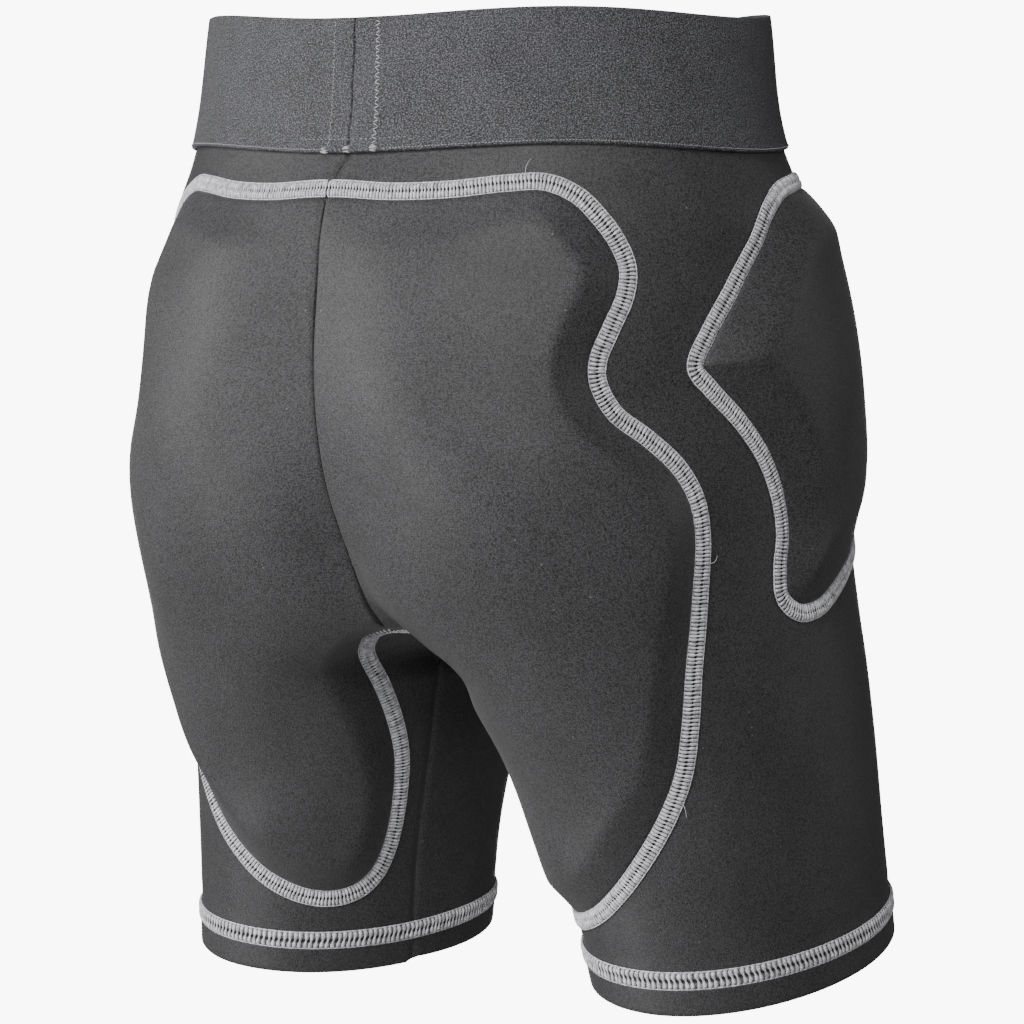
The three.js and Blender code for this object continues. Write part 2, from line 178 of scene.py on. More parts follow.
# The camera: its angle round the object and above it, its distance and its lens.
CAMERA_AZIMUTH = 218
CAMERA_ELEVATION = 3.5
CAMERA_DISTANCE = 1.95
CAMERA_TARGET_Z = -0.19
CAMERA_LENS = 178.2
CAMERA_SHIFT_X = 0.0215

# Lights: name, angle round the object and above it, and power in watts.
LIGHTS = (
    ("side", 122, 12, 46),
    ("low", 152, -14, 46),
    ("key", 192, 36, 62),
    ("fill", 218, 18, 27),
    ("rim", 315, 10, 10),
)
LIGHT_DISTANCE = 2.2
LIGHT_SIZE = 0.8

# The world's light, the bright backdrop and the angles between which it fades, and the floor.
WORLD_STRENGTH = 0.06
BACKDROP_STRENGTH = 9.0
BACKDROP_REACH = (14, 9.5)
FLOOR_Z = -2.0
FLOOR_RADIUS = 2.6
FLOOR_SIDES = 96

rng = np.random.default_rng(7)


def smooth(t):
    t = np.clip(t, 0, 1)
    return t * t * (3 - 2 * t)


def column_curve(rows, column):
    """A smooth curve through one column of a table, over its first column."""
    xs = np.array([row[0] for row in rows], float)
    ys = np.array([row[column] for row in rows], float)
    steps = np.diff(xs)
    slopes = np.diff(ys) / steps
    tangents = np.empty_like(ys)
    tangents[0], tangents[-1] = slopes[0], slopes[-1]
    tangents[1:-1] = (steps[1:] * slopes[:-1] + steps[:-1] * slopes[1:]) / (steps[:-1] + steps[1:])

    def read(value):
        value = np.clip(value, xs[0], xs[-1])
        k = np.clip(np.searchsorted(xs, value, side="right") - 1, 0, len(xs) - 2)
        h = steps[k]
        t = (value - xs[k]) / h
        s = 1 - t
        return (ys[k] * (1 + 2 * t) * s * s + tangents[k] * h * t * s * s
                + ys[k + 1] * t * t * (3 - 2 * t) - tangents[k + 1] * h * t * t * s)

    return read


CURVES = {name: column_curve(SECTIONS, i) for i, name in enumerate(SECTION_COLUMNS) if i}
rear_fullness = column_curve(REAR_FULLNESS, 1)
hip_fullness = column_curve(HIP_FULLNESS, 1)


def nearness(angle, down, place):
    """1 at a place on the shell, fading to 0 round it."""
    place_angle, place_down, wide, high = place
    return np.exp(-((angle - place_angle) / wide) ** 2 - ((down - place_down) / high) ** 2)


def section(angle, down):
    """A section at an angle: cosine, sine, reach, and its centre and half width along x."""
    c = np.cos(np.radians(angle))
    s = np.sin(np.radians(angle))
    power = np.where(c < 0, CURVES["square"](down), 2.0)
    reach = (np.abs(c) ** power + np.abs(s) ** power) ** (-1 / power)
    centre = CURVES["x"](down) * HALF_HIP
    half = np.where(c > 0, CURVES["outer"](down) * HALF_HIP - centre,
                    centre - CURVES["inner"](down) * HALF_HIP)
    return c, s, reach, centre, half


def local_x(angle, down):
    """Distance of a face point from the centre plane, positive on its own half."""
    c, _, reach, centre, half = section(angle, down)
    return centre + half * reach * c


def face_points(angle, down, side):
    """Points of the shell's outer face. side is +1 for the wearer's left, -1 for the right."""
    angle, down = np.broadcast_arrays(np.asarray(angle, float), np.asarray(down, float))
    c, s, reach, centre_x, half_x = section(angle, down)
    centre_y = CURVES["y"](down) * HALF_DEPTH
    half_y = np.where(s > 0, CURVES["back"](down) * HALF_DEPTH - centre_y,
                      centre_y - CURVES["front"](down) * HALF_DEPTH)
    reach = reach * (1 - SIDE_PINCH * nearness(angle, down, PINCH_AT)
                     + SIDE_SWELL * nearness(angle, down, SWELL_AT))
    from_x = half_x * reach * c
    around = (angle + 180) % 360 - 180
    turn = nearness(around, down, CROTCH_AT) * smooth((centre_x + from_x) / (14 * MM))
    from_y = half_y * reach * s * (1 - CROTCH_TURN[side] * turn)
    dip = WAIST_DIP * np.clip((DIP_END - down) / DIP_END, 0, 1)
    dip = dip * (1 - np.cos(4 * np.radians(angle - 45))) / 2
    lean = smooth((down - LEG_LEAN_START) / (LEG_LEAN_END - LEG_LEAN_START))
    hang = LEG_LIFT + side * (LEG_LEAN_OUT * from_x + LEG_LEAN_BACK * from_y - LEG_DROP)
    z = (-BAND_HEIGHT - down * SHELL_LENGTH - CURVES["tilt_back"](down) * from_y
         + CURVES["tilt_out"](down) * from_x - dip + lean * hang
         - HEM_DROP[side] * smooth((down - 0.9) / 0.058))
    return np.stack([side * (centre_x + from_x), centre_y + from_y, z], -1)


def unit(vectors):
    return vectors / (np.linalg.norm(vectors, axis=-1, keepdims=True) + 1e-12)


def face_normals(angle, down, side, turn=0.5, drop=0.0015):
    across = face_points(angle + turn, down, side) - face_points(angle - turn, down, side)
    along = face_points(angle, down + drop, side) - face_points(angle, down - drop, side)
    return unit(np.cross(across, along)) * -side


def lifted(angle, down, side, height):
    height = np.asarray(height)[..., None]
    return face_points(angle, down, side) + face_normals(angle, down, side) * height


def seam_angle(down, target, sign):
    """The angle, towards the back (+1) or front (-1), where the face is target from the centre."""
    low = np.full(np.shape(down), 40.0)
    high = np.full(np.shape(down), 180.0)
    for _ in range(40):
        mid = (low + high) / 2
        outside = local_x(sign * mid, down) > target
        low = np.where(outside, mid, low)
        high = np.where(outside, high, mid)
    return sign * high


def run_length(points):
    """The length along a run of points, from 0 at the first."""
    return np.concatenate([[0], np.cumsum(np.linalg.norm(np.diff(points, axis=0), axis=1))])


def catmull_line(points, closed, step):
    """A centripetal curve through (angle, down) points, read at an even real step."""
    knots = np.array([(a * DEGREE_LENGTH, d * SHELL_LENGTH) for a, d in points])
    count = len(knots)
    spans = count if closed else count - 1
    pieces = []
    for i in range(spans):
        if closed:
            p0, p1, p2, p3 = (knots[(i + k - 1) % count] for k in range(4))
        else:
            p1, p2 = knots[i], knots[i + 1]
            p0 = knots[i - 1] if i else 2 * p1 - p2
            p3 = knots[i + 2] if i + 2 < count else 2 * p2 - p1
        d1, d2, d3 = (max(1e-9, np.linalg.norm(b - a)) ** 0.5
                      for a, b in ((p0, p1), (p1, p2), (p2, p3)))
        m1 = ((p1 - p0) / d1 - (p2 - p0) / (d1 + d2) + (p2 - p1) / d2) * d2
        m2 = ((p2 - p1) / d2 - (p3 - p1) / (d2 + d3) + (p3 - p2) / d3) * d2
        t = np.linspace(0, 1, 24, endpoint=False)[:, None]
        pieces.append(p1 * (1 + 2 * t) * (1 - t) ** 2 + m1 * t * (1 - t) ** 2
                      + p2 * t * t * (3 - 2 * t) - m2 * t * t * (1 - t))
    line = np.concatenate(pieces + [knots[:1] if closed else knots[-1:]])
    angle, down = line[:, 0] / DEGREE_LENGTH, line[:, 1] / SHELL_LENGTH
    length = run_length(face_points(angle, down, 1))
    steps = max(8, round(length[-1] / step))
    at = np.linspace(0, length[-1], steps + 1)
    if closed:
        at = at[:-1]
    return np.interp(at, length, angle), np.interp(at, length, down)


def even_line(angle, down, step):
    """A run of (angle, down) points read again at an even real step from its first point."""
    length = run_length(face_points(angle, down, 1))
    at = np.arange(0, length[-1], step)
    return np.interp(at, length, angle), np.interp(at, length, down)


def line_frame(angle, down, side, closed):
    """Direction along a line and direction inwards, over the shell, at each of its points."""
    points = face_points(angle, down, side)
    if closed:
        along = np.roll(points, -1, 0) - np.roll(points, 1, 0)
    else:
        along = np.gradient(points, axis=0)
    along = unit(along)
    inward = unit(np.cross(along, face_normals(angle, down, side))) * -side
    return along, inward


def shift(angle, down, side, direction, distance):
    """(angle, down) moved over the shell by distance along a direction in space."""
    turn, drop = 0.5, 0.0015
    here = face_points(angle, down, side)
    across = face_points(angle + turn, down, side) - here
    along = face_points(angle, down + drop, side) - here
    aa, ab, bb = ((p * q).sum(-1) for p, q in ((across, across), (across, along), (along, along)))
    pa = (direction * across).sum(-1) * distance
    pb = (direction * along).sum(-1) * distance
    scale = aa * bb - ab * ab
    return angle + turn * (pa * bb - pb * ab) / scale, down + drop * (pb * aa - pa * ab) / scale


def distance_to_line(points, line, closed):
    """The distance from each point to a line of points in space."""
    ends = np.roll(line, -1, 0) if closed else line[1:]
    starts = line if closed else line[:-1]
    best = np.full(len(points), 1e9)
    for a, b in zip(starts, ends):
        ab = b - a
        t = np.clip(((points - a) @ ab) / (ab @ ab + 1e-15), 0, 1)
        best = np.minimum(best, np.linalg.norm(points - a - t[:, None] * ab, axis=1))
    return best


class Parts:
    """Collects closed bodies and joins them into one mesh."""

    def __init__(self):
        self.vertices, self.uvs, self.faces, self.tones = [], [], [], []
        self.count = 0

    def add(self, vertices, faces, uvs, tone):
        vertices = np.asarray(vertices).reshape(-1, 3)
        faces = faces.tolist() if isinstance(faces, np.ndarray) else faces
        self.faces += [[k + self.count for k in face] for face in faces]
        self.tones += [tone] * len(faces)
        self.vertices.append(vertices)
        self.uvs.append(np.asarray(uvs).reshape(-1, 2))
        self.count += len(vertices)

    def build(self, name, materials):
        mesh = bpy.data.meshes.new(name)
        mesh.from_pydata(np.concatenate(self.vertices).tolist(), [], self.faces)
        layer = mesh.uv_layers.new(name="UVMap")
        corner = np.zeros(len(mesh.loops), np.int32)
        mesh.loops.foreach_get("vertex_index", corner)
        uvs = np.concatenate(self.uvs).astype(np.float32)
        layer.data.foreach_set("uv", uvs[corner].ravel())
        mesh.polygons.foreach_set("material_index", self.tones)
        mesh.polygons.foreach_set("use_smooth", [True] * len(mesh.polygons))
        for material in materials:
            mesh.materials.append(material)
        work = bmesh.new()
        work.from_mesh(mesh)
        bmesh.ops.recalc_face_normals(work, faces=work.faces)
        work.to_mesh(mesh)
        work.free()
        mesh.update()
        piece = bpy.data.objects.new(name, mesh)
        bpy.context.scene.collection.objects.link(piece)
        return piece


def grid_faces(rows, columns, wrap_columns, base=0):
    i = np.arange(rows - 1)[:, None]
    j = np.arange(columns if wrap_columns else columns - 1)[None, :]
    k = (j + 1) % columns
    faces = np.stack([i * columns + j, i * columns + k, (i + 1) * columns + k,
                      (i + 1) * columns + j], -1)
    return faces.reshape(-1, 4) + base


def band_faces(first, count):
    """Quads of a tube of count sides whose rings start at the vertex numbers in first."""
    quads = []
    for i in range(count):
        k = (i + 1) % count
        quads.append(np.stack([first[:-1] + i, first[1:] + i, first[1:] + k, first[:-1] + k], -1))
    return np.concatenate(quads).tolist()


def strip_faces(first, second):
    """Quads between two equal runs of vertex numbers."""
    return np.stack([first[:-1], first[1:], second[1:], second[:-1]], -1)


def finish_piece(piece, node):
    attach(piece, "root")
    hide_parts(node)


def seam_offset(down):
    """How far the centre seam runs to the wearer's right just below the waistband."""
    return -SEAM_SHIFT * (1 - smooth((down + 0.02) / 0.07))


def crotch_down():
    """How far down the two halves part."""
    downs = np.linspace(0.4, 0.8, 4001)
    return downs[np.argmax(local_x(180.0, downs) > 0.1 * MM)]


CROTCH = crotch_down()


def inseam_angle(down):
    """The angle of the inseam below the crotch."""
    return 180 - INSEAM_TURN * smooth((down - CROTCH) / 0.05)


def shell_angles(downs, columns, side):
    """Angles of the shell's columns at each down, from the front seam round to the back one."""
    target = SEAM_START + side * seam_offset(downs)
    back = np.where(downs < CROTCH, seam_angle(downs, target, 1), inseam_angle(downs) - INSEAM_GAP)
    front = np.where(downs < CROTCH, seam_angle(downs, SEAM_START, -1),
                     inseam_angle(downs) + INSEAM_GAP - 360)
    t = np.linspace(0, 1, columns)
    return front[:, None] + (back - front)[:, None] * t[None, :]


def close_seams(face, downs, side):
    """Brings the cloth's edges together, at the centre seam and down the inseam."""
    upper = downs < CROTCH
    touch = side * SEAM_TOUCH
    face[upper, 0, 0] = touch
    face[upper, -1, 0] = seam_offset(downs[upper]) + touch
    inseam = (face[~upper, 0] + face[~upper, -1]) / 2
    face[~upper, 0] = inseam
    face[~upper, -1] = inseam


def build_shell(word, side, material):
    """One half's cloth, from its tuck under the waistband to the folded hem."""
    downs = np.concatenate([
        np.linspace(-TUCK / SHELL_LENGTH, 0.54, 90), np.linspace(0.545, CROTCH - 1e-4, 24),
        np.linspace(CROTCH + 1e-4, 0.68, 24), np.linspace(0.685, HEM_FOLD - 0.02, 40),
        np.linspace(HEM_FOLD - 0.017, 0.997, 26), [0.9985, 0.9995, 1.0]])
    columns = SHELL_COLUMNS
    angles = shell_angles(downs, columns, side)
    grid = np.broadcast_to(downs[:, None], angles.shape)
    hem_step = 0.55 * MM * smooth((downs - HEM_FOLD - 0.004) / 0.008)
    hem_round = 0.9 * MM * np.clip((downs - 0.996) / 0.004, 0, 1) ** 2
    share = 1 - np.abs(np.linspace(-1, 1, columns))
    width = np.linalg.norm(np.diff(face_points(angles, grid, side), axis=1), axis=2).sum(1)
    edge_distance = share[None, :] * width[:, None] / 2
    groove = GROOVE_DEPTH * np.exp(-(edge_distance / GROOVE_WIDTH) ** 2)
    pull = 0.25 * MM * np.exp(-((downs - HEM_FOLD + 0.022) / 0.008) ** 2)[:, None]
    pull = pull * (0.5 + 0.5 * np.sin(angles / 4.3 + side) * np.sin(angles / 11))
    from_inseam = np.linspace(0, 1, columns)[None, :] * width[:, None]
    grid = grid - (0.005 * smooth((downs - HEM_FOLD) / 0.02))[:, None] * np.exp(
        -from_inseam / (22 * MM))
    outer = lifted(angles, grid, side, (hem_step - hem_round)[:, None] - groove - pull)
    wall = np.where(downs > HEM_FOLD, HEM_WALL, SHELL_WALL) - 0.8 * hem_round
    inner = lifted(angles, grid, side, np.broadcast_to(-wall[:, None], angles.shape))
    for face in (outer, inner):
        close_seams(face, downs, side)
    rows = len(downs)
    base = rows * columns
    number = np.arange(base).reshape(rows, columns)
    faces = np.concatenate([
        grid_faces(rows, columns, False),
        grid_faces(rows, columns, False, base)[:, ::-1],
        strip_faces(number[0] + base, number[0]),
        strip_faces(number[-1], number[-1] + base),
        strip_faces(number[:, 0], number[:, 0] + base),
        strip_faces(number[:, -1] + base, number[:, -1]),
    ])
    uv = np.stack([angles * FACE_DEGREE, -grid * SHELL_LENGTH], -1)
    parts = Parts()
    parts.add(np.stack([outer, inner]), faces, np.stack([uv, uv]), 0)
    piece = parts.build(f"shell_{word}_fabric", [material])
    finish_piece(piece, f"shell_{word}")


def build_band(materials):
    """The elastic band with its butt joint at the back and the stitches that hold it."""
    fine = np.arange(-24, 25) * 0.08
    angles = np.sort(np.concatenate([np.arange(0, 360, 1.25), BAND_JOINT_ANGLE + fine]))
    outside = PIECE_GAP + BAND_WALL
    edge = 0.6 * MM
    heights = np.concatenate([[-BAND_HEIGHT], -BAND_HEIGHT + np.array([0.12, 0.3, 0.7]) * MM,
                              np.linspace(-BAND_HEIGHT + 1.3 * MM, -1.3 * MM, 24),
                              np.array([-0.7, -0.3, -0.12, 0]) * MM])
    near = np.minimum(heights + BAND_HEIGHT, -heights)
    rounded = edge * np.clip(1 - near / edge, 0, 1) ** 2
    tucked = 0.3 * MM * np.exp(-((heights + 2.4 * MM) / (0.8 * MM)) ** 2)
    wobble = 0.25 * MM * np.sin(heights / (9 * MM)) + 0.2 * MM * np.sin(heights / (3.1 * MM) + 1)
    from_joint = (angles[None, :] - BAND_JOINT_ANGLE) * BAND_DEGREE - wobble[:, None]
    slot = 1.1 * MM * np.exp(-(from_joint / (0.3 * MM)) ** 2)
    raised = 0.35 * MM * smooth((13 * MM - np.abs(from_joint)) / (2 * MM))
    lift = outside - (rounded + tucked)[:, None] - slot + raised
    down = heights / SHELL_LENGTH
    outer = lifted(angles[None, :], down[:, None], 1, lift)
    inner = lifted(angles[None, :], down[::-1, None], 1, np.full(lift.shape, PIECE_GAP))
    rows, columns = 2 * len(down), len(angles)
    closing = np.stack([(rows - 1) * columns + np.arange(columns),
                        (rows - 1) * columns + (np.arange(columns) + 1) % columns,
                        (np.arange(columns) + 1) % columns, np.arange(columns)], -1)
    uv = np.stack(np.broadcast_arrays(angles[None, :] * BAND_DEGREE,
                                      np.concatenate([heights, heights[::-1]])[:, None]), -1)
    parts = Parts()
    parts.add(np.concatenate([outer, inner]), np.concatenate(
        [grid_faces(rows, columns, True), closing]), uv, 0)
    add_band_stitches(parts, outside)
    piece = parts.build("waistband_elastic", materials)
    finish_piece(piece, "waistband")


def band_point(across, height, lift):
    """Points of the band: across from its joint, height from its lower edge, negative above it."""
    angle = BAND_JOINT_ANGLE + np.asarray(across) / BAND_DEGREE
    down = np.asarray(height) / SHELL_LENGTH
    return lifted(angle, down, 1, np.broadcast_to(lift, np.broadcast(angle, down).shape))


def add_band_stitches(parts, outside):
    """Two zigzag rows beside the joint, a row under them, bar tacks and the edge's fine row."""
    top = outside + 0.35 * MM
    for centre, width, tone in BAND_ROWS:
        count = 37
        height = -1.8 * MM - np.arange(count) * (BAND_HEIGHT - 3 * MM) / count
        height = height + rng.normal(0, 0.12, count) * MM
        sign = np.where(np.arange(count) % 2, 1, -1)
        reach = sign * width / 2 * (1 + rng.normal(0, 0.2, count))
        add_stitches(parts, centre - reach, height, centre + reach, height - 1.0 * MM,
                     top, 0.15 * MM, tone)
    start = np.arange(-22, 22, 1.9) * MM
    add_stitches(parts, start, -4.9 * MM + 0 * start, start + 1.1 * MM, -4.7 * MM + 0 * start,
                 top - 0.08 * MM, 0.12 * MM, 1)
    for centre in BAND_TACKS:
        count = 9
        height = -0.6 * MM - rng.uniform(-0.9, 1.5, count) * MM
        left = centre - rng.uniform(0.7, 1.8, count) * MM
        right = centre + rng.uniform(0.7, 1.8, count) * MM
        add_stitches(parts, left, height, right, height + rng.uniform(-0.7, 0.7, count) * MM,
                     top + 0.1 * MM, 0.2 * MM, 1)
    around = np.arange(0, 358, 0.62) * BAND_DEGREE
    height = -1.0 * MM + rng.normal(0, 0.05, len(around)) * MM
    add_stitches(parts, around + 14 * MM, height, around + 14.8 * MM, height, outside - 0.05 * MM,
                 0.14 * MM, 1)


def add_stitches(parts, across0, height0, across1, height1, lift, radius, tone):
    """Short threads on the band, each a bent tube that dips at both ends."""
    t = np.array([0, 0.22, 0.5, 0.78, 1.0])
    dip = np.array([-0.35, 0.05, 0.16, 0.05, -0.35]) * MM
    across = across0[:, None] + (across1 - across0)[:, None] * t
    height = height0[:, None] + (height1 - height0)[:, None] * t
    centres = band_point(across, height, lift + dip[None, :])
    for centre_line in centres:
        add_tube(parts, centre_line, radius, tone)


def add_tube(parts, centres, radius, tone):
    """A tube with closed ends, along a list of centres."""
    along = unit(np.gradient(centres, axis=0))
    reference = np.array([0.3, 0.2, 0.93])
    first = unit(np.cross(along, reference))
    second = np.cross(along, first)
    turn = np.linspace(0, 2 * np.pi, TUBE_SIDES, endpoint=False)
    ring = centres[:, None] + radius * (first[:, None] * np.cos(turn)[:, None]
                                        + second[:, None] * np.sin(turn)[:, None])
    rows = len(centres)
    faces = grid_faces(rows, TUBE_SIDES, True).tolist()
    faces.append(list(range(TUBE_SIDES))[::-1])
    faces.append([(rows - 1) * TUBE_SIDES + k for k in range(TUBE_SIDES)])
    uv = np.stack(np.broadcast_arrays(turn[None, :] * 0.0002, run_length(centres)[:, None]), -1)
    parts.add(ring, faces, uv, tone)


def shoulder(s):
    """A straight rise that rounds over to level: 0 at 0, 1 from 1.2 on."""
    s = np.clip(s, 0, 1.2)
    return s - np.clip(s - 0.8, 0, None) ** 2 / 0.8


def ring_shares(count):
    t = np.linspace(0, 1, count)
    return t ** 1.25


def rear_relief(angle, down, x, side):
    """How far the rear pad rises: lower at the centre seam and where the seat turns under."""
    near_crotch = smooth((down - 0.4) / 0.12)
    share = VALLEY_SHARE + (0.95 - VALLEY_SHARE) * smooth((down - 0.44) / 0.1)
    valley = share + (1 - share) * smooth(x / VALLEY_WIDTH)
    middle = np.exp(-(x / (7 * MM)) ** 2) * near_crotch
    corner = CORNER_FLATTER[side] * nearness(angle, down, CORNER_AT)
    return valley * (1 - corner * (1 - middle)) + 0.25 * middle


def rear_ramp(angle, down):
    """The pad's bevel: short at the sides, a little longer inside and at the top."""
    inner = smooth((angle - 100) / 35) * smooth((0.8 - down) / 0.12) * smooth((down - 0.45) / 0.08)
    top = smooth((0.24 - down) / 0.12) * smooth((angle - 52) / 22)
    return REAR_PAD_RAMP * (1 + 0.15 * inner + 0.4 * top)


def rear_creases(down, x, side):
    """Soft folds where the seat turns under at the crotch, beside the centre seam."""
    beside = np.exp(-((x - 7 * MM) / (3.2 * MM)) ** 2) * smooth((down - 0.5) / 0.04)
    return CREASE_DEPTH[side] * beside


def hip_ramp(angle, down):
    """The hip pad's bevel, the same all round."""
    return np.full(np.broadcast(angle, down).shape, HIP_PAD_RAMP)


def pad_outline(line, closed, side):
    """A pad's outline, just inside the stitching that runs along line."""
    angle, down = catmull_line(line, closed, PAD_STEP)
    inward = line_frame(angle, down, side, closed)[1]
    return shift(angle, down, side, inward, STITCH_WIDTH / 2 + 0.1 * MM)


def build_pad(word, side, kind, angle, down, stitched, form, material):
    """A pad from its outline, of which the first points, stitched in number, are sewn down."""
    rings = ring_shares(form["rings"])[:-1]
    centre_angle, centre_down = form["centre"]
    angles = angle[None, :] + (centre_angle - angle[None, :]) * rings[:, None]
    downs = down[None, :] + (centre_down - down[None, :]) * rings[:, None]
    angles = np.append(angles.ravel(), centre_angle)
    downs = np.append(downs.ravel(), centre_down)
    base = face_points(angles, downs, side)
    sewn = face_points(angle[:stitched], down[:stitched], side)
    distance = distance_to_line(base, sewn, form["closed"])
    x = np.abs(base[:, 0])
    rise = shoulder((distance - PAD_FLAT) / form["ramp"](angles, downs))
    height = (form["thickness"] * form["fullness"](downs) - PAD_RIM) * rise
    swell = 0.5 * MM * np.sin(angles / 9 + 3 * side) * np.sin(downs * 31 + side) * rise
    height = height + swell
    if form["valley"]:
        height = height * rear_relief(angles, downs, x, side)
        height = height - 0.7 * MM * np.exp(-(x / (1.0 * MM)) ** 2)
        height = height - rear_creases(downs, x, side) * smooth(distance / (4 * MM))
    edge = PAD_RIM * (0.4 + 0.6 * smooth(distance / (0.8 * MM)))
    top = lifted(angles, downs, side, PAD_CLEARANCE + np.maximum(edge + height, 0.3 * MM))
    bottom = lifted(angles, downs, side, np.full(angles.shape, PAD_CLEARANCE))
    if form["valley"]:
        own = side * top[:, 0]
        floor = 0.15 * MM
        top[:, 0] = side * (floor + np.logaddexp(0, (own - floor) / (0.2 * MM)) * 0.2 * MM)
        bottom[:, 0] = side * np.maximum(side * bottom[:, 0], floor)
    columns = len(angle)
    rows = len(rings)
    half = len(angles)
    faces = [grid_faces(rows, columns, True), grid_faces(rows, columns, True, half)[:, ::-1]]
    ring = np.append(np.arange(columns), 0)
    faces.append(strip_faces(ring + half, ring))
    last = (rows - 1) * columns + ring
    triangles = np.stack([last[:-1], last[1:], np.full(columns, half - 1)], -1)
    under = np.stack([last[1:] + half, last[:-1] + half, np.full(columns, 2 * half - 1)], -1)
    parts = Parts()
    uv = np.stack([angles * FACE_DEGREE, -downs * SHELL_LENGTH], -1)
    parts.add(np.concatenate([top, bottom]), np.concatenate(faces).tolist() + triangles.tolist()
              + under.tolist(), np.concatenate([uv, uv]), 0)
    piece = parts.build(f"{kind}_pad_{word}_foam", [material])
    finish_piece(piece, f"{kind}_pad_{word}")


def add_loops(parts, angle, down, side, frames, style):
    """The raised thread loops of a coverstitch, one across the band at each point of the line."""
    along, inward = frames
    pitch = style["pitch"]
    half = STITCH_WIDTH / 2
    count = len(angle)
    stations = np.linspace(-1, 1, 11)
    middle = np.abs(stations)
    reach = half * (1 + rng.normal(0, 0.02, (count, 1)))
    a, d = shift(angle[:, None], down[:, None], side, inward[:, None, :], stations[None] * reach)
    normal = face_normals(a, d, side)
    hole = np.exp(-(stations / style["hole"]) ** 2)
    crown = 0.85 * MM * np.sqrt(np.clip(1 - middle ** 2, 0, 1)) - 0.3 * MM * hole
    width = pitch * (0.46 - style["gap"] * hole - 0.16 * middle ** 8)
    thick = 0.4 * MM * (1 - 0.4 * middle ** 4)
    lean = pitch * (style["slant"] * stations + style["bend"] * np.sin(np.pi * stations))
    wander = rng.normal(0, 0.045, (count, 1)) * pitch
    centre = face_points(a, d, side) + normal * (0.3 * MM + crown)[None, :, None]
    centre = centre + along[:, None, :] * (lean[None, :] + wander)[..., None]
    turn = np.linspace(0, 2 * np.pi, TUBE_SIDES, endpoint=False) + 0.3
    ring = (centre[:, :, None, :]
            + along[:, None, None, :] * (width[None, :, None] * np.cos(turn))[..., None]
            + normal[:, :, None, :] * (thick[None, :, None] * np.sin(turn))[..., None])
    per = len(stations) * len(turn)
    first = np.arange(count)[:, None, None] * per
    walls = (grid_faces(len(stations), len(turn), True)[None] + first).reshape(-1, 4).tolist()
    cap = np.arange(len(turn))
    caps = [(cap[::-1] + k).tolist() for k in first.ravel()]
    caps += [(cap + k + per - len(turn)).tolist() for k in first.ravel()]
    uv = np.stack(np.broadcast_arrays((stations * half)[None, :, None],
                                      (np.arange(count) * pitch)[:, None, None]
                                      + np.cos(turn) * pitch / 2), -1)
    parts.add(ring, walls + caps, uv, 0)


def add_ribbon(parts, angle, down, side, inward, closed, style):
    """The crowned thread mass under the loops, painted as shade, with needle holes down its middle.
    """
    half = STITCH_WIDTH / 2
    count = len(angle)
    flat = np.array([-1, -0.7, -0.35, -0.14, 0, 0.14, 0.35, 0.7, 1])
    a, d = shift(angle[:, None], down[:, None], side, inward[:, None, :], flat[None] * half * 0.96)
    lift = 0.16 * MM + 0.86 * MM * np.sqrt(np.clip(1 - flat ** 2, 0, 1))
    lift = lift - 0.7 * MM * np.exp(-(flat / 0.16) ** 2)
    upper = lifted(a, d, side, np.broadcast_to(lift, a.shape))
    lower = lifted(a, d, side, np.full(a.shape, 0.05 * MM))[:, ::-1]
    ribbon = np.concatenate([upper, lower], 1)
    across = ribbon.shape[1]
    rows = count + 1 if closed else count
    faces = band_faces(np.arange(rows) % count * across, across)
    if not closed:
        faces.append(list(range(across)))
        faces.append([(rows - 1) * across + k for k in reversed(range(across))])
    v = np.concatenate([flat, flat[::-1]]) * half
    uv = np.stack(np.broadcast_arrays(v[None, :], (np.arange(count) * style["pitch"])[:, None]), -1)
    parts.add(ribbon, faces, uv, 1)


def add_edge_chain(parts, angle, down, side, frames, closed, style, edge):
    """The looper thread's fine chain along one edge of the band."""
    along, inward = frames
    count = len(angle)
    share = np.full(count, edge * 0.99 * STITCH_WIDTH / 2)
    a, d = shift(angle, down, side, inward, share)
    normal = face_normals(a, d, side)
    centre = lifted(a, d, side, np.full(count, 0.36 * MM))
    double = np.repeat(centre, 2, 0)
    double[1::2] += np.repeat(along, 2, 0)[1::2] * style["pitch"] * 0.5
    radius = np.where(np.arange(2 * count) % 2, 0.26, 0.38) * MM
    turn = np.linspace(0, 2 * np.pi, TUBE_SIDES, endpoint=False)
    ring = (double[:, None] + radius[:, None, None] * (
        np.repeat(normal, 2, 0)[:, None] * np.sin(turn)[:, None]
        + np.repeat(inward, 2, 0)[:, None] * np.cos(turn)[:, None]))
    rows = 2 * count
    number = np.arange(rows + 1) % rows if closed else np.arange(rows)
    faces = band_faces(number * TUBE_SIDES, TUBE_SIDES)
    if not closed:
        faces.append(list(range(TUBE_SIDES)))
        faces.append([(rows - 1) * TUBE_SIDES + k for k in reversed(range(TUBE_SIDES))])
    from_start = np.arange(rows) * style["pitch"] / 2
    uv = np.stack(np.broadcast_arrays(turn[None] * 0.0002, from_start[:, None]), -1)
    parts.add(ring, faces, uv, 0)


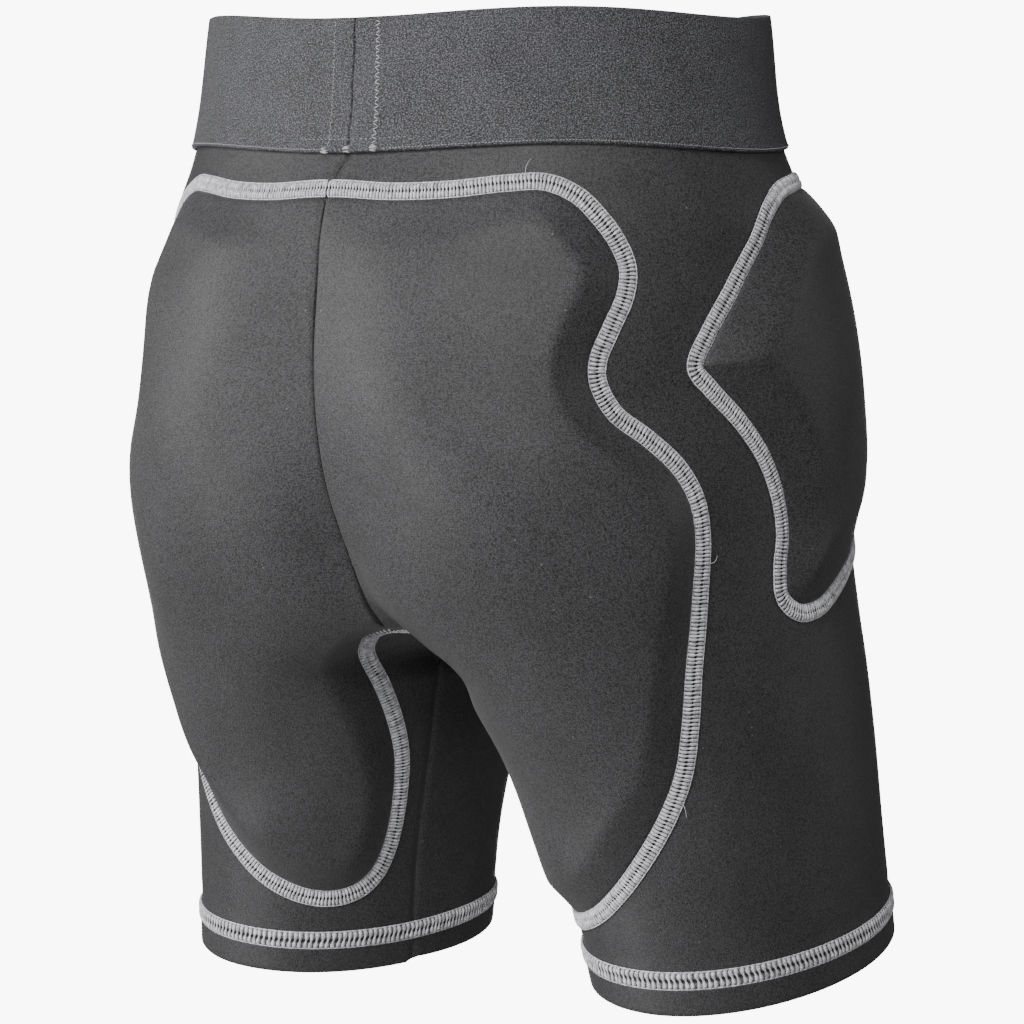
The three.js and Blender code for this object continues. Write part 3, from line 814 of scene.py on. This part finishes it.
def build_coverstitch(name, angle, down, side, closed, style, materials, node, loose=()):
    """One coverstitch band: thread mass, loops, two edge chains and any loose thread ends."""
    frames = line_frame(angle, down, side, closed)
    parts = Parts()
    add_ribbon(parts, angle, down, side, frames[1], closed, style)
    add_loops(parts, angle, down, side, frames, style)
    for edge in (-1, 1):
        add_edge_chain(parts, angle, down, side, frames, closed, style, edge)
    for where, lean, length in loose:
        k = int(where * len(angle))
        start = face_points(angle[k], down[k], side)
        normal = face_normals(angle[k], down[k], side)
        t = np.linspace(0, 1, 10)[:, None]
        outward = -frames[1][k]
        centre = (start + outward * (STITCH_WIDTH * 0.4 + length * t) + normal * (
            0.5 * MM + 1.6 * MM * np.sin(t * 2.6)) + frames[0][k] * length * lean * t ** 2)
        add_tube(parts, centre, 0.09 * MM, 0)
    piece = parts.build(name, materials)
    finish_piece(piece, node)


def build_rear(word, side, pad_material, thread_materials):
    """The pad over the seat and thigh: its outline closes up along the centre seam."""
    angle, down = pad_outline(REAR_LINE, False, side)
    keep = local_x(angle, down) > np.where(down > 0.4, CROTCH_CUT, PAD_SEAM_GAP)
    angle, down = angle[keep], down[keep]
    fine = np.linspace(down[-1] + 0.004, down[0], 4001)
    fine_angles = seam_angle(fine, PAD_SEAM_GAP, 1)
    away = face_points(fine_angles[:2500], fine[:2500], 1) - face_points(angle[-1], down[-1], 1)
    first = np.argmin(np.linalg.norm(away, axis=1))
    seam_angles, seam_downs = even_line(fine_angles[first:], fine[first:], 1.9 * MM)
    seam_angles = seam_angle(seam_downs, PAD_SEAM_GAP, 1)
    form = {"rings": 42, "centre": REAR_CENTRE, "closed": False, "ramp": rear_ramp,
            "thickness": REAR_PAD_THICKNESS, "fullness": rear_fullness, "valley": True}
    build_pad(word, side, "rear", np.append(angle, seam_angles), np.append(down, seam_downs),
              len(angle), form, pad_material)
    angle, down = catmull_line(REAR_LINE, False, 0.1 * MM)
    keep = local_x(angle, down) > 0.72 * MM
    angle, down = even_line(angle[keep], down[keep], PAD_STITCH["pitch"])
    build_coverstitch(f"rear_stitching_{word}_thread", angle, down, side, False, PAD_STITCH,
                      thread_materials, f"rear_stitching_{word}", LOOSE_ENDS if side < 0 else ())


def build_hip(word, side, pad_material, thread_materials):
    angle, down = pad_outline(HIP_LINE, True, side)
    form = {"rings": 32, "centre": HIP_CENTRE, "closed": True, "ramp": hip_ramp,
            "thickness": HIP_PAD_THICKNESS, "fullness": hip_fullness, "valley": False}
    build_pad(word, side, "hip", angle, down, len(angle), form, pad_material)
    angle, down = catmull_line(HIP_LINE, True, PAD_STITCH["pitch"])
    build_coverstitch(f"hip_stitching_{word}_thread", angle, down, side, True, PAD_STITCH,
                      thread_materials, f"hip_stitching_{word}")


def build_hem_stitching(word, side, thread_materials):
    fine = np.linspace(0, 360, 721)
    length = run_length(face_points(fine, np.full(len(fine), HEM_FOLD), side))
    count = round(length[-1] / HEM_STITCH["pitch"])
    angle = np.interp(np.arange(count) * length[-1] / count, length, fine)
    build_coverstitch(f"hem_stitching_{word}_thread", angle, np.full(count, HEM_FOLD), side, True,
                      HEM_STITCH, thread_materials, f"hem_stitching_{word}")


class Nodes:
    """A small helper that adds and links shader nodes."""

    def __init__(self, name):
        self.material = bpy.data.materials.new(name)
        self.material.use_nodes = True
        self.tree = self.material.node_tree
        self.shader = self.tree.nodes["Principled BSDF"]

    def add(self, kind, inputs=None, **settings):
        node = self.tree.nodes.new(kind)
        for key, value in settings.items():
            setattr(node, key, value)
        for key, value in (inputs or {}).items():
            self.put(node, key, value)
        return node

    def put(self, node, key, value):
        socket = node.inputs[key]
        if isinstance(value, bpy.types.NodeSocket):
            self.tree.links.new(value, socket)
        else:
            socket.default_value = value

    def mapped(self, scale):
        uv = self.add("ShaderNodeUVMap", uv_map="UVMap")
        mapping = self.add("ShaderNodeMapping", {"Vector": uv.outputs["UV"], "Scale": scale})
        return mapping.outputs["Vector"]

    def noise(self, vector, scale, detail=2.0, rough=0.5):
        node = self.add("ShaderNodeTexNoise", {"Vector": vector, "Scale": scale, "Detail": detail,
                                               "Roughness": rough})
        return node.outputs["Fac"]

    def dots(self, scale, reach, even=0.8):
        """Fine raised dots of knitted loops: 1 at each dot's middle, 0 from reach on."""
        field = self.add("ShaderNodeTexVoronoi", {"Vector": self.mapped(scale), "Scale": 1.0,
                                                  "Randomness": even})
        return self.ranged(field.outputs["Distance"], 0.12, reach, 1.0, 0.0)

    def ranged(self, value, low, high, to_low, to_high):
        node = self.add("ShaderNodeMapRange", {"Value": value, "From Min": low, "From Max": high,
                                               "To Min": to_low, "To Max": to_high})
        return node.outputs["Result"]

    def maths(self, operation, first, second):
        node = self.add("ShaderNodeMath", operation=operation)
        self.put(node, 0, first)
        self.put(node, 1, second)
        return node.outputs[0]

    def mix(self, factor, first, second, blend="MIX"):
        node = self.add("ShaderNodeMix", data_type="RGBA", blend_type=blend)
        for index, value in ((0, factor), (6, first), (7, second)):
            if isinstance(value, bpy.types.NodeSocket):
                self.tree.links.new(value, node.inputs[index])
            else:
                node.inputs[index].default_value = value
        return node.outputs[2]

    def bump(self, height, strength, distance):
        node = self.add("ShaderNodeBump", {"Height": height, "Strength": strength,
                                           "Distance": distance})
        self.put(self.shader, "Normal", node.outputs["Normal"])


def grey(value, blue=1.0):
    return (value, value, value * blue, 1.0)


def knit_material(name, dark, light, sheen):
    """Fine stretch knit: faint ribs down the cloth, grain, slow mottling and pale lint."""
    n = Nodes(name)
    plain = n.mapped((1, 1, 1))
    ribs = n.noise(n.mapped((1100, 260, 1)), 1.0, 2.0, 0.6)
    grain = n.noise(plain, 1150.0, 2.0, 0.75)
    mottle = n.noise(plain, 28.0, 3.0, 0.6)
    tone = n.maths("ADD", n.maths("MULTIPLY", ribs, 0.35), n.maths("MULTIPLY", grain, 0.65))
    tone = n.ranged(tone, 0.36, 0.64, 0.0, 1.0)
    loops = n.dots((1600, 1900, 1), 0.75, 0.6)
    tone = n.maths("ADD", n.maths("MULTIPLY", tone, 0.3), n.maths("MULTIPLY", loops, 0.7))
    colour = n.mix(tone, grey(dark, 1.03), grey(light, 1.05))
    slow = n.ranged(mottle, 0.3, 0.7, 0.88, 1.1)
    slow_colour = n.add("ShaderNodeCombineColor", {"Red": slow, "Green": slow, "Blue": slow})
    colour = n.mix(1.0, colour, slow_colour.outputs["Color"], "MULTIPLY")
    lint = n.add("ShaderNodeTexVoronoi", {"Vector": plain, "Scale": 95.0, "Randomness": 1.0})
    specks = n.ranged(lint.outputs["Distance"], 0.04, 0.02, 0.0, 0.5)
    colour = n.mix(specks, colour, grey(0.16))
    n.put(n.shader, "Base Color", colour)
    n.put(n.shader, "Roughness", n.ranged(grain, 0.3, 0.7, 0.5, 0.62))
    n.shader.inputs["Specular IOR Level"].default_value = 0.17
    n.shader.inputs["Sheen Weight"].default_value = sheen
    n.shader.inputs["Sheen Roughness"].default_value = 0.4
    n.bump(tone, 0.3, 0.0002)
    return n.material


def elastic_material(name):
    """Knitted elastic: fine pale flecks over dark, uneven from place to place."""
    n = Nodes(name)
    plain = n.mapped((1, 1, 1))
    flecks = n.dots((1750, 2050, 1), 0.75, 0.55)
    uneven = n.noise(n.mapped((1500, 1900, 1)), 1.0, 1.0, 0.6)
    slow = n.noise(plain, 45.0, 2.0, 0.5)
    tone = n.maths("MULTIPLY", flecks, n.ranged(uneven, 0.36, 0.64, 0.12, 1.25))
    tone = n.maths("ADD", tone, n.ranged(slow, 0.3, 0.7, -0.03, 0.03))
    colour = n.mix(tone, grey(0.004, 1.04), grey(0.13, 1.1))
    n.put(n.shader, "Base Color", colour)
    n.put(n.shader, "Roughness", n.ranged(flecks, 0.3, 0.7, 0.65, 0.8))
    n.shader.inputs["Specular IOR Level"].default_value = 0.18
    n.shader.inputs["Sheen Weight"].default_value = 0.03
    n.bump(tone, 0.6, 0.0003)
    return n.material


def thread_material(name, dark, light):
    """Spun thread with a fine twist and uneven tone."""
    n = Nodes(name)
    plain = n.mapped((1, 1, 1))
    twist = n.noise(n.mapped((1500, 3200, 1)), 1.0, 2.0, 0.6)
    slow = n.noise(plain, 420.0, 2.0, 0.5)
    tone = n.maths("ADD", n.maths("MULTIPLY", twist, 0.5), n.maths("MULTIPLY", slow, 0.5))
    tone = n.ranged(tone, 0.36, 0.64, 0.0, 1.0)
    n.put(n.shader, "Base Color", n.mix(tone, grey(dark, 1.05), grey(light, 1.05)))
    n.put(n.shader, "Roughness", n.ranged(twist, 0.3, 0.7, 0.55, 0.75))
    n.shader.inputs["Sheen Weight"].default_value = 0.1
    n.bump(twist, 0.4, 0.0001)
    return n.material


def ribbon_material(name):
    """Thread mass between the loops in painted shade, near black at the hole row down the middle.
    """
    n = Nodes(name)
    uv = n.add("ShaderNodeUVMap", uv_map="UVMap")
    across = n.add("ShaderNodeSeparateXYZ", {"Vector": uv.outputs["UV"]}).outputs["X"]
    grain = n.noise(n.mapped((1, 1, 1)), 2500.0, 2.0, 0.6)
    beside = n.ranged(n.maths("ABSOLUTE", across, 0.0), 0.0004, 0.0011, 0.0, 1.0)
    # Painted shade: dark grey for the shade between the loops, near black for the shade in the
    # needle holes.
    mass = n.mix(n.ranged(grain, 0.35, 0.65, 0, 1), grey(0.03), grey(0.11))
    n.put(n.shader, "Base Color", n.mix(beside, grey(0.006), mass))
    n.shader.inputs["Roughness"].default_value = 0.85
    n.bump(grain, 0.3, 0.0002)
    return n.material


def place(thing, azimuth, elevation, distance):
    """Sets a camera or light at an angle round the shorts and above them, facing them."""
    a, e = math.radians(azimuth), math.radians(elevation)
    thing.location = (distance * math.sin(a) * math.cos(e), -distance * math.cos(a) * math.cos(e),
                      CAMERA_TARGET_Z + distance * math.sin(e))
    thing.rotation_euler = (math.pi / 2 - e, 0, a)
    bpy.context.scene.collection.objects.link(thing)


def make_camera():
    data = bpy.data.cameras.new("camera")
    data.lens = CAMERA_LENS
    data.sensor_width = 36
    data.shift_x = CAMERA_SHIFT_X
    data.clip_end = 50
    camera = bpy.data.objects.new("camera", data)
    place(camera, CAMERA_AZIMUTH, CAMERA_ELEVATION, CAMERA_DISTANCE)
    bpy.context.scene.camera = camera


def make_light(name, azimuth, elevation, power):
    data = bpy.data.lights.new(name, "AREA")
    data.shape = "DISK"
    data.size = LIGHT_SIZE
    data.energy = power
    place(bpy.data.objects.new(name, data), azimuth, elevation, LIGHT_DISTANCE)


def make_stage():
    """A pale floor well below the shorts, which hang from the waist, and a lit backdrop."""
    turn = np.linspace(0, 2 * np.pi, FLOOR_SIDES, endpoint=False)
    rim = np.stack([FLOOR_RADIUS * np.cos(turn), FLOOR_RADIUS * np.sin(turn),
                    np.full(FLOOR_SIDES, FLOOR_Z)], -1)
    mesh = bpy.data.meshes.new("floor")
    mesh.from_pydata(rim.tolist(), [], [list(range(FLOOR_SIDES))])
    floor = bpy.data.objects.new("floor", mesh)
    bpy.context.scene.collection.objects.link(floor)
    n = Nodes("pale_floor")
    coords = n.add("ShaderNodeTexCoord")
    cloud = n.noise(coords.outputs["Object"], 1.5, 2.0, 0.5)
    n.put(n.shader, "Base Color", n.mix(n.ranged(cloud, 0.3, 0.7, 0, 1), grey(0.86), grey(0.9)))
    n.shader.inputs["Roughness"].default_value = 0.9
    floor.data.materials.append(n.material)
    make_world()


def make_world():
    """Soft even light, with a bright backdrop behind the shorts."""
    world = bpy.data.worlds.new("studio")
    bpy.context.scene.world = world
    world.use_nodes = True
    tree = world.node_tree
    background = tree.nodes["Background"]
    background.inputs["Color"].default_value = (1, 1, 1, 1)
    azimuth = math.radians(CAMERA_AZIMUTH)
    elevation = math.radians(CAMERA_ELEVATION)
    coords = tree.nodes.new("ShaderNodeTexCoord")
    dot = tree.nodes.new("ShaderNodeVectorMath")
    dot.operation = "DOT_PRODUCT"
    dot.inputs[1].default_value = (
        -math.sin(azimuth) * math.cos(elevation), math.cos(azimuth) * math.cos(elevation),
        -math.sin(elevation))
    fade = tree.nodes.new("ShaderNodeMapRange")
    fade.interpolation_type = "SMOOTHSTEP"
    fade.inputs["From Min"].default_value = math.cos(math.radians(BACKDROP_REACH[0]))
    fade.inputs["From Max"].default_value = math.cos(math.radians(BACKDROP_REACH[1]))
    fade.inputs["To Min"].default_value = WORLD_STRENGTH
    fade.inputs["To Max"].default_value = BACKDROP_STRENGTH
    tree.links.new(coords.outputs["Generated"], dot.inputs[0])
    tree.links.new(dot.outputs["Value"], fade.inputs["Value"])
    tree.links.new(fade.outputs["Result"], background.inputs["Strength"])


make_camera()
make_stage()
for light in LIGHTS:
    make_light(*light)

shell_cloth = knit_material("shell_knit", 0.004, 0.052, 0.03)
pad_cloth = knit_material("pad_knit", 0.005, 0.057, 0.05)
# The second thread material is painted shade for the thread mass under the loops.
threads = [thread_material("pale_thread", 0.12, 0.52), ribbon_material("thread_mass_painted_shade")]
band_materials = [elastic_material("band_elastic"), thread_material("band_thread_mid", 0.14, 0.26),
                  thread_material("band_thread_pale", 0.2, 0.42),
                  thread_material("band_thread_dark", 0.03, 0.06)]

build_band(band_materials)
for word, side in SIDES:
    build_shell(word, side, shell_cloth)
    build_rear(word, side, pad_cloth, threads)
    build_hip(word, side, pad_cloth, threads)
    build_hem_stitching(word, side, threads)
